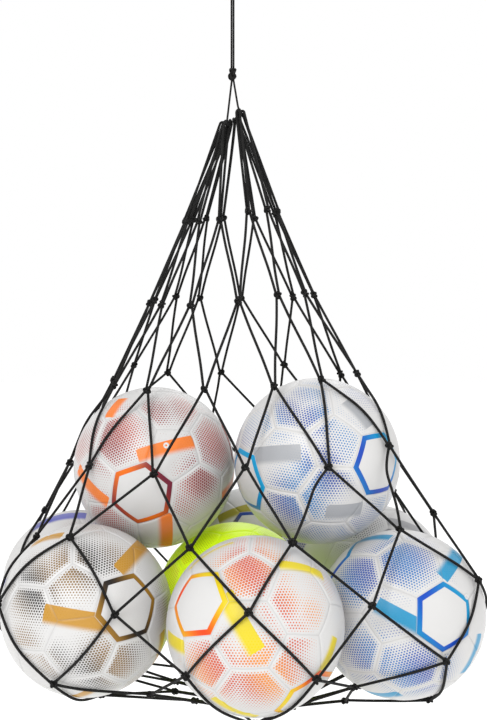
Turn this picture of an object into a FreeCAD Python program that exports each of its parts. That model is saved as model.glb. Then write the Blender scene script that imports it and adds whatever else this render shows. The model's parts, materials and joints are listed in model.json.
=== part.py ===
"""Mesh ball bag: a knotted cord net, hung by its draw cord and full of footballs.

Frame, in millimetres: the origin is where the hanging eye rests on its hook, +Z points up,
and -Y is the front, so the whole bag lies below the origin. The net is a tube of diamond
meshes: COLUMNS meshes round and ROWS rows of knots deep. Its top meshes hang on the neck
bight of the draw cord, and its bottom meshes are drawn up by the base ring. The net is
worked out by letting a taut rope net settle over the balls, with some knots kept where
they lie on the load.
"""
import FreeCAD, Part
import math
import os

# ---- driving dimensions ----
BALL_D = 220.0
COVER_WALL = 2.2
BLADDER_WALL = 0.7
LAYER_GAP = 0.3
VALVE_D = 7.0
VALVE_DEPTH = 9.0

NET_CORD_D = 3.6
DRAW_CORD_D = 2.8
BASE_CORD_D = 4.4
KNOT_R = 5.7
KNOT_WRAP_R = 4.3
KNOT_WRAP_CORD_R = 1.75

COLUMNS = 12
ROWS = 9
MESH_BAR = 112.0
TOP_LOOP = 117.0
DRAWN_BAR = 60.0
FIRST_DRAWN_ROW = 8
DRAWN_PULL = 0.15
RUNS = 4

EYE_KNOT_Z = -41.0
CLOSING_KNOT_Z = -156.0
TIE_KNOT_R = 8.4
TIE_KNOT_WAIST_R = 6.3
JOINT_GAP = 0.1
STRAND_X = 1.45
EYE_HALF_WIDTH = 7.5
EYE_SHOULDER_Z = -14.0

NECK_R = 11.8
NECK_OPEN_DEG = 82.0
NECK_STEPS = 14
LOOP_SLACK = 2.5
NECK_LOW_Z = -231.0
NECK_RISE = 21.0
NECK_LEAD_LIFT = (6.0, 1.5)

BASE_CENTRE = (60.0, -50.0, -1024.0)
BASE_RING_R = 20.0
BASE_PAIR_HALF = 2.7
TAIL_LENGTH = 28.0

# ---- where the balls lie: centres, as they nest in the net ----
BALLS = {
    "front": (30, -217, -883),
    "left": (-187, -144, -878),
    "right": (223, -109, -890),
    "middle": (4, 3, -894),
    "back_left": (-226, 84, -886),
    "back_right": (206, 112, -881),
    "back": (32, 250, -868),
    "upper_left": (-107, -34, -703),
    "upper_right": (113, -89, -690),
    "upper_back": (-122, 187, -720),
}

# ---- where the knots seen from the front lie, as row: {column: (x, z)} ----
GUIDED_KNOTS = {
    3: {-2.5: (-160, -590), -1.5: (-112, -597), -0.5: (-35, -594),
        0.5: (54, -591), 1.5: (116, -583), 2.5: (168, -575), 3.5: (154, -578),
        4.5: (75, -562), 5.5: (-20, -575), -5.5: (-101, -577)},
    4: {-3: (-228, -701), -2: (-185, -696), -1: (-98, -701),
        0: (19, -690), 1: (121, -692), 2: (196, -668)},
    5: {-2.5: (-260, -791), -1.5: (-201, -777), -0.5: (-50, -784),
        0.5: (74, -775), 1.5: (212, -770), 2.5: (270, -762)},
    6: {-2: (-286, -861), -1: (-140, -863), 0: (22, -846), 1: (172, -854), 2: (317, -837)},
    7: {-1.5: (-218, -952), -0.5: (-54, -929), 0.5: (101, -931), 1.5: (267, -929)},
    8: {0: (29, -995)},
}

# ---- how the net settles ----
SETTLE_STEPS = 300
COAST_STEPS = 255
PASSES = 4
COAST = 0.85
SHARE = 0.6
GUIDE_PULL = 0.3

BALL_R = BALL_D / 2
NET_R = NET_CORD_D / 2
DRAW_R = DRAW_CORD_D / 2
BASE_R = BASE_CORD_D / 2
CORD_CLEAR = BALL_R + NET_R + 1.7
KNOT_CLEAR = BALL_R + KNOT_R + 1.1
TIE_REACH = TIE_KNOT_R + JOINT_GAP


def vec(x, y, z):
    return FreeCAD.Vector(x, y, z)


def unit(v):
    return v / v.Length


def polar(radius, degrees, z):
    turn = math.radians(degrees)
    return vec(radius * math.cos(turn), radius * math.sin(turn), z)


# ---------------------------------------------------------------- cords

def cord(route, diameter, radii=None):
    """A round cord along a list of points: straight runs joined by tangent arcs."""
    points = [route[0]]
    for before, point, after in zip(route, route[1:], route[2:]):
        if turn_at(before, point, after) > math.radians(0.15):
            points.append(point)
    points.append(route[-1])
    edges = []
    start = points[0]
    for before, point, after in zip(points, points[1:], points[2:]):
        shorter = min((point - before).Length, (after - point).Length)
        setback = 0.45 * shorter
        half = turn_at(before, point, after) / 2
        radius = setback / math.tan(half)
        if radii is not None:
            radii.append(radius)
        enter = point - unit(point - before) * setback
        leave = point + unit(after - point) * setback
        inward = unit(unit(after - point) - unit(point - before))
        middle = point + inward * (radius / math.cos(half) - radius)
        edges.append(Part.LineSegment(start, enter).toShape())
        edges.append(Part.Arc(enter, middle, leave).toShape())
        start = leave
    edges.append(Part.LineSegment(start, points[-1]).toShape())
    path = Part.Wire(edges)
    along = unit(points[1] - points[0])
    section = Part.Face(Part.Wire(Part.Circle(points[0], along, diameter / 2).toShape()))
    return path.makePipe(section)


def turn_at(before, point, after):
    return (point - before).getAngle(after - point)


# ---------------------------------------------------------------- the net's shape

def columns(row):
    """Column numbers of a row: 0 is the front, and odd rows sit half a column over."""
    shift = 0.5 if row % 2 else 0.0
    return [number + shift - COLUMNS / 2 for number in range(COLUMNS)]


def wrap(column):
    half = COLUMNS / 2
    return (column + half) % COLUMNS - half


def neck_degrees(column):
    """Where a top loop hangs round the neck bight, which is open at the front."""
    first = NECK_OPEN_DEG / 2 + 1.0
    spread = (180.0 - first) / (COLUMNS / 2) * (abs(column) - 0.5) * COLUMNS / (COLUMNS - 1)
    return -90.0 + math.copysign(first + spread, column)


def neck_point(degrees):
    """A point of the neck bight, which climbs from its left end, round the back, to its right."""
    first = -90.0 - NECK_OPEN_DEG / 2
    swept = (first - degrees) % 360.0
    share = swept / (360.0 - NECK_OPEN_DEG)
    return polar(NECK_R, degrees, NECK_LOW_Z + NECK_RISE * share)


def start_place(row, column):
    """A rough first place for a knot, on a cone that closes in again below the balls."""
    degrees = -90.0 + 360.0 * column / COLUMNS
    share = row / ROWS
    radius = 60.0 * row if row <= 6 else 360.0 - 90.0 * (row - 6)
    height = -220.0 - 118.0 * row if row <= 6 else -956.0 - 30.0 * (row - 6)
    drift = max(0.0, share - 0.5)
    place = polar(radius, degrees, height)
    shift = vec(10 * share + BASE_CENTRE[0] * drift, 10 * share + BASE_CENTRE[1] * drift, 0)
    return place + shift


def base_place(column):
    return polar(BASE_RING_R, -90.0 + 360.0 * column / COLUMNS, 0) + vec(*BASE_CENTRE)


class Net:
    """Points, and bars of RUNS segments each, that settle into a taut net over the balls."""

    def __init__(self):
        self.points = []
        self.names = {}
        self.fixed = set()
        self.bars = {}
        self.segments = []
        for column in columns(1):
            self.fixed.add(self.add(("top", column), neck_point(neck_degrees(column))))
        for row in range(1, ROWS + 1):
            for column in columns(row):
                self.add((row, column), start_place(row, column))
        for column in columns(ROWS + 1):
            self.fixed.add(self.add((ROWS + 1, column), base_place(column)))
        for column in columns(1):
            self.join(("top", column), (1, column), TOP_LOOP, 1.0)
        for row in range(1, ROWS + 1):
            drawn = row >= FIRST_DRAWN_ROW
            rest, pull = (DRAWN_BAR, DRAWN_PULL) if drawn else (MESH_BAR, 1.0)
            for column in columns(row):
                for side in (-0.5, 0.5):
                    self.join((row, column), (row + 1, wrap(column + side)), rest, pull)

    def add(self, name, place):
        self.names[name] = len(self.points)
        self.points.append([place.x, place.y, place.z])
        return self.names[name]

    def join(self, upper, lower, rest, pull):
        a = vec(*self.points[self.names[upper]])
        b = vec(*self.points[self.names[lower]])
        chain = [self.names[upper]]
        for step in range(1, RUNS):
            chain.append(self.add((upper, lower, step), a + (b - a) * (step / RUNS)))
        chain.append(self.names[lower])
        self.bars[(upper, lower)] = chain
        for first, second in zip(chain, chain[1:]):
            self.segments.append((first, second, rest / RUNS, pull))

    def settle(self):
        count = len(self.points)
        ends = [0] * count
        for first, second, _, _ in self.segments:
            ends[first] += 1
            ends[second] += 1
        free = [index for index in range(count) if index not in self.fixed]
        knots = {self.names[(row, column)] for row in range(1, ROWS + 1) for column in columns(row)}
        clear = [KNOT_CLEAR if index in knots else CORD_CLEAR for index in range(count)]
        guides = [(self.names[(row, column)], x, z)
                  for row, places in GUIDED_KNOTS.items() for column, (x, z) in places.items()]
        speed = [(0.0, 0.0, 0.0)] * count
        for step in range(SETTLE_STEPS):
            before = [tuple(point) for point in self.points]
            if step < COAST_STEPS:
                for index in free:
                    point = self.points[index]
                    for axis in range(3):
                        point[axis] += COAST * speed[index][axis]
            for _ in range(PASSES):
                self.tighten(free, ends)
                for index, x, z in guides:
                    self.points[index][0] += GUIDE_PULL * (x - self.points[index][0])
                    self.points[index][2] += GUIDE_PULL * (z - self.points[index][2])
                self.lift_off_balls(free, clear)
            speed = [tuple(now - then for now, then in zip(point, old))
                     for point, old in zip(self.points, before)]

    def tighten(self, free, ends):
        """Move each point by its share of what its segments are too long or too short."""
        moves = [[0.0, 0.0, 0.0] for _ in self.points]
        for first, second, rest, pull in self.segments:
            a = self.points[first]
            b = self.points[second]
            dx = b[0] - a[0]
            dy = b[1] - a[1]
            dz = b[2] - a[2]
            length = math.sqrt(dx * dx + dy * dy + dz * dz) + 1e-9
            part = 0.5 * pull * (length - rest) / length
            mine = moves[first]
            mine[0] += part * dx
            mine[1] += part * dy
            mine[2] += part * dz
            other = moves[second]
            other[0] -= part * dx
            other[1] -= part * dy
            other[2] -= part * dz
        for index in free:
            point = self.points[index]
            move = moves[index]
            scale = 1.0 / (SHARE * ends[index])
            point[0] += move[0] * scale
            point[1] += move[1] * scale
            point[2] += move[2] * scale

    def lift_off_balls(self, free, clear):
        """Push each point that has sunk into a ball straight out to its clear distance."""
        for cx, cy, cz in BALLS.values():
            for index in free:
                point = self.points[index]
                reach = clear[index]
                dz = point[2] - cz
                if -reach < dz < reach:
                    dx = point[0] - cx
                    dy = point[1] - cy
                    away = math.sqrt(dx * dx + dy * dy + dz * dz)
                    if away < reach:
                        scale = reach / away
                        point[0] = cx + dx * scale
                        point[1] = cy + dy * scale
                        point[2] = cz + dz * scale

    def at(self, name):
        return vec(*self.points[self.names[name]])

    def chain(self, upper, lower):
        return [vec(*self.points[index]) for index in self.bars[(upper, lower)]]

    def knot_axes(self, row, column):
        """A knot's own down and right directions, from the cords that leave it."""
        here = self.at((row, column))
        lower = [self.chain((row, column), (row + 1, wrap(column + side)))[1] for side in (-0.5, 0.5)]
        if row == 1:
            upper = [self.chain(("top", column), (1, column))[-2]]
        else:
            upper = [self.chain((row - 1, wrap(column + side)), (row, column))[-2]
                     for side in (-0.5, 0.5)]
        above = sum((unit(place - here) for place in upper), vec(0, 0, 0)) / len(upper)
        below = (unit(lower[0] - here) + unit(lower[1] - here)) / 2
        down = unit(below - above)
        across = lower[1] - lower[0]
        right = unit(across - down * across.dot(down))
        return down, right


# ---------------------------------------------------------------- net pieces

EXIT_DOWN = 3.6
EXIT_SIDE = 2.0
LAST_SPREAD = 0.9


def knot_solid():
    """A pulled-tight net knot: a round body with two crossed wraps, its down along -Z."""
    body = Part.makeSphere(KNOT_R - 0.5)
    wrap_a = Part.makeTorus(KNOT_WRAP_R, KNOT_WRAP_CORD_R, vec(0, 0, 0), vec(0.55, 0.25, 0.8))
    wrap_b = Part.makeTorus(KNOT_WRAP_R, KNOT_WRAP_CORD_R, vec(0, 0, 0), vec(-0.6, 0.2, 0.75))
    return body.fuse([wrap_a, wrap_b]).Solids[0]


def knot_row(net, row, pattern):
    """One row of knots, each turned to the cords that leave it."""
    solids = []
    for column in columns(row):
        down, right = net.knot_axes(row, column)
        turn = FreeCAD.Rotation(right, vec(0, 0, 0), down * -1, "ZXY")
        solid = pattern.copy()
        solid.Placement = FreeCAD.Placement(net.at((row, column)), turn)
        solids.append(solid)
    return Part.makeCompound(solids)


def mesh_row(net, row, radii):
    """The cords between one row of knots and the next, or the base ring."""
    solids = []
    for column in columns(row):
        down, right = net.knot_axes(row, column)
        for side in (-0.5, 0.5):
            target = (row + 1, wrap(column + side))
            route = net.chain((row, column), target)
            route[0] = route[0] + down * EXIT_DOWN + right * (EXIT_SIDE * 2 * side)
            if row < ROWS:
                low_down, low_right = net.knot_axes(*target)
                route[-1] = route[-1] - low_down * EXIT_DOWN - low_right * (EXIT_SIDE * 2 * side)
            else:
                route[1] = route[1] + right * (LAST_SPREAD * 2 * side)
                route[-1] = base_end(target[1], -side)
            solids.append(cord(route, NET_CORD_D, radii))
    return Part.makeCompound(solids)


def base_end(column, side):
    """The end of a last cord, just inside the outer surface of the base ring."""
    degrees = -90.0 + 360.0 * column / COLUMNS
    outward = polar(1.0, degrees, 0)
    along = polar(1.0, degrees + 90.0, 0)
    reach = BASE_RING_R + BASE_R - 0.5
    return vec(*BASE_CENTRE) + outward * reach + along * (2 * side * BASE_PAIR_HALF)


def top_loops(net, radii):
    """The top meshes: hairpins that hang on the neck bight, each with both legs in one knot."""
    rise = DRAW_R + NET_R + 0.15
    solids = []
    for number, column in enumerate(columns(1)):
        half = rise + LOOP_SLACK * (number % 2)
        degrees = neck_degrees(column)
        seat = neck_point(degrees)
        along = unit(neck_point(degrees - 1.0) - neck_point(degrees + 1.0))
        knot = net.at((1, column))
        hang = knot - seat
        hang = unit(hang - along * hang.dot(along))
        side = unit(along.cross(hang))
        down, _ = net.knot_axes(1, column)
        inner_end = knot - down * EXIT_DOWN - side * EXIT_SIDE
        outer_end = knot - down * EXIT_DOWN + side * EXIT_SIDE
        crest = seat - hang * rise
        route = [inner_end, crest - side * half, crest + side * half, outer_end]
        solids.append(cord(route, NET_CORD_D, radii))
    return Part.makeCompound(solids)


def base_ring():
    return Part.makeTorus(BASE_RING_R, BASE_R, vec(*BASE_CENTRE))


def base_knot(radii):
    """The knot that closes the base ring, with its two cut ends."""
    place = vec(*BASE_CENTRE) + polar(BASE_RING_R, 75.0, -1.0)
    solids = [Part.makeSphere(5.2, place)]
    for degrees in (50.0, 96.0):
        out = polar(1.0, degrees, 0)
        bend = place + out * (TAIL_LENGTH * 0.5) - vec(0, 0, 2)
        tip = place + polar(TAIL_LENGTH, degrees - 14.0, -6.0)
        tail = cord([place + out * 3.0, bend, tip], NET_CORD_D, radii)
        solids.append(tail)
    return solids[0].fuse(solids[1:]).Solids[0]


# ---------------------------------------------------------------- hanging cord pieces

def tie_knot(z):
    """A stopper knot, round where the cords on each side of it turn about its centre."""
    ball = Part.makeSphere(TIE_KNOT_R, vec(0, 0, z))
    barrel = Part.makeCylinder(TIE_KNOT_WAIST_R, 4 * TIE_KNOT_R, vec(0, 0, z - 2 * TIE_KNOT_R))
    return ball.common(barrel).Solids[0]


def hang_eye(radii):
    """The bight that sits on the hook: its inside top is the origin."""
    foot = EYE_KNOT_Z + TIE_REACH
    crest = DRAW_R
    route = [vec(STRAND_X, 0, foot), vec(EYE_HALF_WIDTH, 0, EYE_SHOULDER_Z),
             vec(EYE_HALF_WIDTH, 0, crest), vec(-EYE_HALF_WIDTH, 0, crest),
             vec(-EYE_HALF_WIDTH, 0, EYE_SHOULDER_Z), vec(-STRAND_X, 0, foot)]
    return cord(route, DRAW_CORD_D, radii)


def hang_strand(x):
    bottom = CLOSING_KNOT_Z + TIE_REACH
    top = EYE_KNOT_Z - TIE_REACH
    return Part.makeCylinder(DRAW_R, top - bottom, vec(x, 0, bottom))


def neck_cord(radii):
    """The draw cord below its knot: one leg down, the bight through the top loops, one leg up."""
    first = -90.0 - NECK_OPEN_DEG / 2
    step = (360.0 - NECK_OPEN_DEG) / NECK_STEPS
    bight = [neck_point(first - step * number) for number in range(NECK_STEPS)]
    bight.append(neck_point(first - step * NECK_STEPS + 1e-6))
    for lift, low, high in zip(NECK_LEAD_LIFT, (0, 1), (-1, -2)):
        bight[low] = bight[low] + vec(0, 0, lift)
        bight[high] = bight[high] + vec(0, 0, lift)
    knot = vec(0, 0, CLOSING_KNOT_Z)
    left = knot + unit(bight[0] - knot) * TIE_REACH
    right = knot + unit(bight[-1] - knot) * TIE_REACH
    return cord([left] + bight + [right], DRAW_CORD_D, radii)


# ---------------------------------------------------------------- balls

def ball_pieces(centre, number):
    """Cover with a valve hole, bladder inside it, and the valve, all about one centre."""
    place = vec(*centre)
    inner = BALL_R - COVER_WALL
    outward = unit(polar(1.0, 40.0 + 137.5 * number, 0.35))
    hole = Part.makeCylinder(VALVE_D / 2 + 0.05, 2 * VALVE_DEPTH, place + outward * (BALL_R - VALVE_DEPTH),
                             outward)
    cover = Part.makeSphere(BALL_R, place).cut([Part.makeSphere(inner, place), hole])
    bladder_r = inner - LAYER_GAP
    bladder = Part.makeSphere(bladder_r, place).cut(
        [Part.makeSphere(bladder_r - BLADDER_WALL, place), hole])
    plug = Part.makeCylinder(VALVE_D / 2, 2 * VALVE_DEPTH, place + outward * (BALL_R - VALVE_DEPTH),
                             outward)
    valve = plug.common(Part.makeSphere(BALL_R - 0.2, place))
    return {"cover": cover.Solids[0], "bladder": bladder.Solids[0], "valve": valve.Solids[0]}


# ---------------------------------------------------------------- the whole bag

def write(name, shape):
    shape.exportStep("parts/" + name + ".step")


def main():
    os.makedirs("parts", exist_ok=True)
    net = Net()
    net.settle()
    radii = []
    write("hang_eye", hang_eye(radii))
    write("eye_knot", tie_knot(EYE_KNOT_Z))
    write("hang_cord_left", hang_strand(-STRAND_X))
    write("hang_cord_right", hang_strand(STRAND_X))
    write("closing_knot", tie_knot(CLOSING_KNOT_Z))
    write("neck_cord", neck_cord(radii))
    write("top_loops", top_loops(net, radii))
    pattern = knot_solid()
    for row in range(1, ROWS + 1):
        write("knot_row_%d" % row, knot_row(net, row, pattern))
        write("mesh_row_%d" % row, mesh_row(net, row, radii))
    write("base_ring", base_ring())
    write("base_knot", base_knot(radii))
    for number, (name, centre) in enumerate(BALLS.items()):
        for piece, shape in ball_pieces(centre, number).items():
            write("ball_%s_%s" % (name, piece), shape)
    lengths = []
    for chain in net.bars.values():
        places = [vec(*net.points[index]) for index in chain]
        lengths.append(sum((b - a).Length for a, b in zip(places, places[1:])))
    print("bars %d, length %.0f to %.0f mm" % (len(lengths), min(lengths), max(lengths)))
    print("arc radii %.1f to %.0f mm" % (min(radii), max(radii)))


main()
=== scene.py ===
import json
import math

import bpy
import numpy as np
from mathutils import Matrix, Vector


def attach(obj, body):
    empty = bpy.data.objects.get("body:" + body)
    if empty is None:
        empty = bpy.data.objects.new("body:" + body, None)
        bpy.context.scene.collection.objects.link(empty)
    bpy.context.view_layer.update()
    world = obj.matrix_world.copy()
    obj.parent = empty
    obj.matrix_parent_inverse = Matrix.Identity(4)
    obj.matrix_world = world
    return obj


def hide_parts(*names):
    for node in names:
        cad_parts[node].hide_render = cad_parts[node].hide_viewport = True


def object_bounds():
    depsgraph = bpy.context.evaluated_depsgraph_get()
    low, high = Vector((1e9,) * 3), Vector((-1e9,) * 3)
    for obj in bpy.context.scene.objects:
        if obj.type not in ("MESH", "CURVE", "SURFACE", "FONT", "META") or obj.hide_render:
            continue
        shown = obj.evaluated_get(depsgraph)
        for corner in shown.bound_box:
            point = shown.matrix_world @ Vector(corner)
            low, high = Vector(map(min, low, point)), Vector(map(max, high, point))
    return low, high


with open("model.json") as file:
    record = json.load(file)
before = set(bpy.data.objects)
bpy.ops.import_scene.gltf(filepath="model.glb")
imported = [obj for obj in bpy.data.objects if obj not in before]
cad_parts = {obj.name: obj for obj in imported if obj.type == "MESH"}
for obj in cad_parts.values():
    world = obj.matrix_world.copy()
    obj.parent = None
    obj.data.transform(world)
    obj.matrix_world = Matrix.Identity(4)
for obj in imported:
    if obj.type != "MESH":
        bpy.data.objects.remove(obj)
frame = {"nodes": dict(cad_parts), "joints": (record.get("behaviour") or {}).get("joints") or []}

bl_info = {
    "name": "Mesh ball bag",
    "version": (1, 0, 0),
    "blender": (4, 5, 0),
    "location": "3D View > Sidebar > Ball bag",
    "description": "A knotted cord net full of footballs, hung by its draw cord",
    "category": "Add Mesh",
}

CAD_BOX = [list(corner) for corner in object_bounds()]

# ---- sizes in metres, most of them shared with the solid model ----
BALL_R = 0.110
NET_R = 0.0018
DRAW_R = 0.0014
BASE_R = 0.0022
KNOT_R = 0.0057

COLUMNS = 12
ROWS = 9
MESH_BAR = 0.112
TOP_LOOP = 0.117
DRAWN_BAR = 0.060
FIRST_DRAWN_ROW = 8
DRAWN_PULL = 0.15
RUNS = 4

EYE_KNOT_Z = -0.041
CLOSING_KNOT_Z = -0.156
TIE_REACH = 0.0085
ROUTE_RESOLUTION = 12
STUB_LAP = 0.0005
STRAND_X = 0.00145
EYE_HALF_WIDTH = 0.0075
EYE_SHOULDER_Z = -0.014
EYE_FLARE = (0.001, 0.008)

NECK_R = 0.0118
NECK_OPEN_DEG = 82.0
NECK_STEPS = 14
LOOP_SLACK = 0.0025
LOOP_GAP = 0.00015
LOOP_SHOULDER = 0.008
NECK_LOW_Z = -0.231
NECK_RISE = 0.021
NECK_LEAD_LIFT = (0.006, 0.0015)
LEG_START = 0.4  # of the knot's reach
LEG_BEND = 0.15  # of a leg's length, from the bight
# the draw cord's cut end, tucked beside the right bunch
CUT_END = ((0.0078, -0.0100, -0.2085), (0.0112, -0.0138, -0.2110),
           (0.0116, -0.0142, -0.2170), (0.0095, -0.0135, -0.2225))

BASE_CENTRE = np.array((0.060, -0.050, -1.024))
BASE_RING_R = 0.020
BASE_PAIR_HALF = 0.0027
TAIL_LENGTH = 0.028
EXIT_DOWN = 0.0036
EXIT_SIDE = 0.0020
LAST_SPREAD = 0.0009

SETTLE_STEPS = 300
COAST_STEPS = 255
PASSES = 4
COAST = 0.85
SHARE = 0.6
GUIDE_PULL = 0.3
CORD_CLEAR = BALL_R + NET_R + 0.0017
KNOT_CLEAR = BALL_R + KNOT_R + 0.0011

# the net's first, rough place: a cone down to the belly row, then a hem that closes in
BELLY_ROW = 6
BELLY_R = 0.360
CONE_TOP_Z = -0.220
CONE_FLARE = 0.060
CONE_DROP = 0.118
HEM_TOP_Z = -0.956
HEM_CLOSE = 0.090
HEM_DROP = 0.030
LEAN_BY_BASE = 0.010
DRIFT_FROM = 0.5

# half width, half height and half depth of the knots' lines, and their places
NET_KNOT_LINE = (0.0041, 0.0041, 0.0027, 42)
NET_KNOT_ROLL_DEG = (37.0, 53.0)
BASE_KNOT_LINE = (0.0040, 0.0040, 0.0026, 60)
STOPPER_WIDTH = 0.0049
STOPPER_HEIGHT = 0.0082
STOPPER_DEPTH = 0.0022
STOPPER_PLACES = 72
STOPPER_SHIFT = (0.0004, -0.0013, 0.0012)
HITCH_CORD_R = 0.0011
HITCH_R = BASE_R + 0.0008
HITCH_PLACES = 14
RING_PLACES = 96
BASE_KNOT_DEG = 75.0
BASE_KNOT_DROP = -0.001
TAILS_DEG = (50.0, 96.0)
TAIL_CURL_DEG = 14.0
TAIL_SAG = 0.006

# the print: dots as shares of their pitch, edges in millimetres from a seam or a bar's side,
# and how fast the two inks change places across a ball
DOT_GROWTH = 0.42
DOT_LEAST = 0.04
BAR_FADE = 9.0
BAR_OVERRUN = 4.0
BARE_MARGIN = 1.5
MARGIN_FADE = 5.0
TINT_WAVES = 7.0
RIM_OUTER = (0.7, 1.1)
RIM_INNER = (7.3, 7.8)

VALVE_START_DEG = 40.0
VALVE_STEP_DEG = 137.5
VALVE_RISE = 0.35
VALVE_PROFILE = np.array((
    (0.0, -0.0060), (0.0038, -0.0060), (0.0042, -0.0006), (0.0040, 0.0001),
    (0.0033, 0.0003), (0.0024, 0.00025), (0.0013, -0.00005), (0.0007, -0.0006),
    (0.0006, -0.0040), (0.0, -0.0040)))

# soft lights: name, place, width and share of the key light's power
LIGHTS = (("key", (-0.9, -2.6, 0.9), 1.8, 1.0), ("fill", (2.2, -1.9, 0.2), 2.2, 0.22),
          ("back", (0.6, 2.4, 1.4), 2.4, 0.3))
LIGHT_AIM_Z = -0.75  # every light points at this height on the vertical axis
FLOOR_RINGS = ((0.0, 0.0), (4.0, 0.0), (40.0, 0.0))
CAMERA_LENS = 65.0
CAMERA_WIDTH = 36.0
CAMERA_REACH = 200.0

BALLS = ("front", "left", "right", "middle", "back_left", "back_right", "back",
         "upper_left", "upper_right", "upper_back")

# where the knots seen from the front lie, as row: {column: (x, z)}, in millimetres
GUIDED_KNOTS = {
    3: {-2.5: (-160, -590), -1.5: (-112, -597), -0.5: (-35, -594),
        0.5: (54, -591), 1.5: (116, -583), 2.5: (168, -575), 3.5: (154, -578),
        4.5: (75, -562), 5.5: (-20, -575), -5.5: (-101, -577)},
    4: {-3: (-228, -701), -2: (-185, -696), -1: (-98, -701),
        0: (19, -690), 1: (121, -692), 2: (196, -668)},
    5: {-2.5: (-260, -791), -1.5: (-201, -777), -0.5: (-50, -784),
        0.5: (74, -775), 1.5: (212, -770), 2.5: (270, -762)},
    6: {-2: (-286, -861), -1: (-140, -863), 0: (22, -846), 1: (172, -854), 2: (317, -837)},
    7: {-1.5: (-218, -952), -0.5: (-54, -929), 0.5: (101, -931), 1.5: (267, -929)},
    8: {0: (29, -995)},
}

VIEW_POINT = np.array((0.01536, -1.819, -0.556))
WORLD_UP = np.array((0.0, 0.0, 1.0))


# ---------------------------------------------------------------- settings

class BallBagCords(bpy.types.PropertyGroup):
    net_sides: bpy.props.IntProperty(
        name="Cord sides", description="Faces round a net cord", default=10, min=6, max=24)
    knot_sides: bpy.props.IntProperty(
        name="Knot sides", description="Faces round a cord inside a knot", default=8, min=6,
        max=16)
    cord_colour: bpy.props.FloatVectorProperty(
        name="Cord colour", description="Colour of the braid's raised yarns", subtype="COLOR",
        default=(0.012, 0.0118, 0.0115), min=0.0, max=1.0)
    # the gap colour is painted shade: the hollows between the braid's yarns are coloured darker
    # than the yarns, on top of their bump
    gap_shade_colour: bpy.props.FloatVectorProperty(
        name="Gap colour", description="Colour between the braid's yarns", subtype="COLOR",
        default=(0.002, 0.002, 0.002), min=0.0, max=1.0)


class BallBagBalls(bpy.types.PropertyGroup):
    seam_depth: bpy.props.FloatProperty(
        name="Seam depth", description="How deep the joins between panels are",
        default=0.0009, min=0.0, unit="LENGTH")
    seam_half_width: bpy.props.FloatProperty(
        name="Seam half width", description="Half the width of the joins between panels",
        default=0.0012, min=0.0001, unit="LENGTH")
    dot_pitch: bpy.props.FloatProperty(
        name="Dot pitch", description="Distance between the printed dots",
        default=0.0038, min=0.001, unit="LENGTH")
    white: bpy.props.FloatVectorProperty(
        name="Cover white", description="Ground colour of the printed covers", subtype="COLOR",
        default=(0.50, 0.495, 0.49), min=0.0, max=1.0)
    neon: bpy.props.FloatVectorProperty(
        name="Cover yellow", description="Ground colour of the bright ball", subtype="COLOR",
        default=(0.60, 0.84, 0.010), min=0.0, max=1.0)
    # the yellow glow is painted light: the bright ball glows evenly in its own colour, with no
    # lamp, to stand for its ink's fluorescence and to lift its shaded parts
    neon_painted_glow: bpy.props.FloatProperty(
        name="Yellow glow", description="How strongly the bright ball's ink fluoresces",
        default=0.22, min=0.0)


class BallBagStage(bpy.types.PropertyGroup):
    floor_drop: bpy.props.FloatProperty(
        name="Floor drop", description="How far the floor lies below the lowest point",
        default=0.24, min=0.0, unit="LENGTH")
    key_power: bpy.props.FloatProperty(
        name="Key power", description="Power of the main soft light", default=58.0, min=0.0)
    sky: bpy.props.FloatProperty(
        name="Surround", description="Brightness of the pale surround", default=1.0, min=0.0)


# ---------------------------------------------------------------- arrays

def unit(vectors):
    """Each vector divided by its own length."""
    vectors = np.asarray(vectors, dtype=float)
    return vectors / np.maximum(np.linalg.norm(vectors, axis=-1, keepdims=True), 1e-12)


def polar(radius, degrees, height):
    """The point at a radius and a turn from +X about the vertical, at a height."""
    turn = np.radians(degrees)
    return np.array((radius * np.cos(turn), radius * np.sin(turn), height))


def mesh_object(name, points, faces, uv=None, uv_name="cord", values=None, merge=False):
    """A mesh from whole arrays: (n, 3) points and (f, 4) corners, where a repeated corner
    makes a triangle. values are named numbers, one for each point. merge joins points that
    lie on one another."""
    points = np.asarray(points, dtype=float).reshape(-1, 3)
    faces = np.asarray(faces, dtype=np.int64).reshape(-1, 4)
    values = dict(values or {})
    if merge:
        cells = np.round(points / 2e-6 + 0.3217).astype(np.int64)
        _, first, back = np.unique(cells, axis=0, return_index=True, return_inverse=True)
        points, faces = points[first], back.reshape(-1)[faces]
        values = {key: numbers[first] for key, numbers in values.items()}
    keep = faces != np.roll(faces, -1, axis=1)
    sound = keep.sum(axis=1) >= 3
    faces, keep = faces[sound], keep[sound]
    if uv is not None:
        uv = np.asarray(uv, dtype=float).reshape(-1, 4, 2)[sound]
    counts = keep.sum(axis=1)
    mesh = bpy.data.meshes.new(name)
    mesh.vertices.add(len(points))
    mesh.vertices.foreach_set("co", points.ravel())
    mesh.loops.add(int(counts.sum()))
    mesh.loops.foreach_set("vertex_index", faces[keep])
    mesh.polygons.add(len(faces))
    mesh.polygons.foreach_set("loop_start", np.concatenate(([0], np.cumsum(counts)[:-1])))
    mesh.polygons.foreach_set("use_smooth", np.ones(len(faces), dtype=bool))
    mesh.update(calc_edges=True)
    if uv is not None:
        layer = mesh.uv_layers.new(name=uv_name)
        layer.data.foreach_set("uv", uv[keep].ravel())
    for key, numbers in values.items():
        mesh.attributes.new(key, "FLOAT", "POINT").data.foreach_set("value", numbers)
    piece = bpy.data.objects.new(name, mesh)
    bpy.context.scene.collection.objects.link(piece)
    return piece


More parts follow.
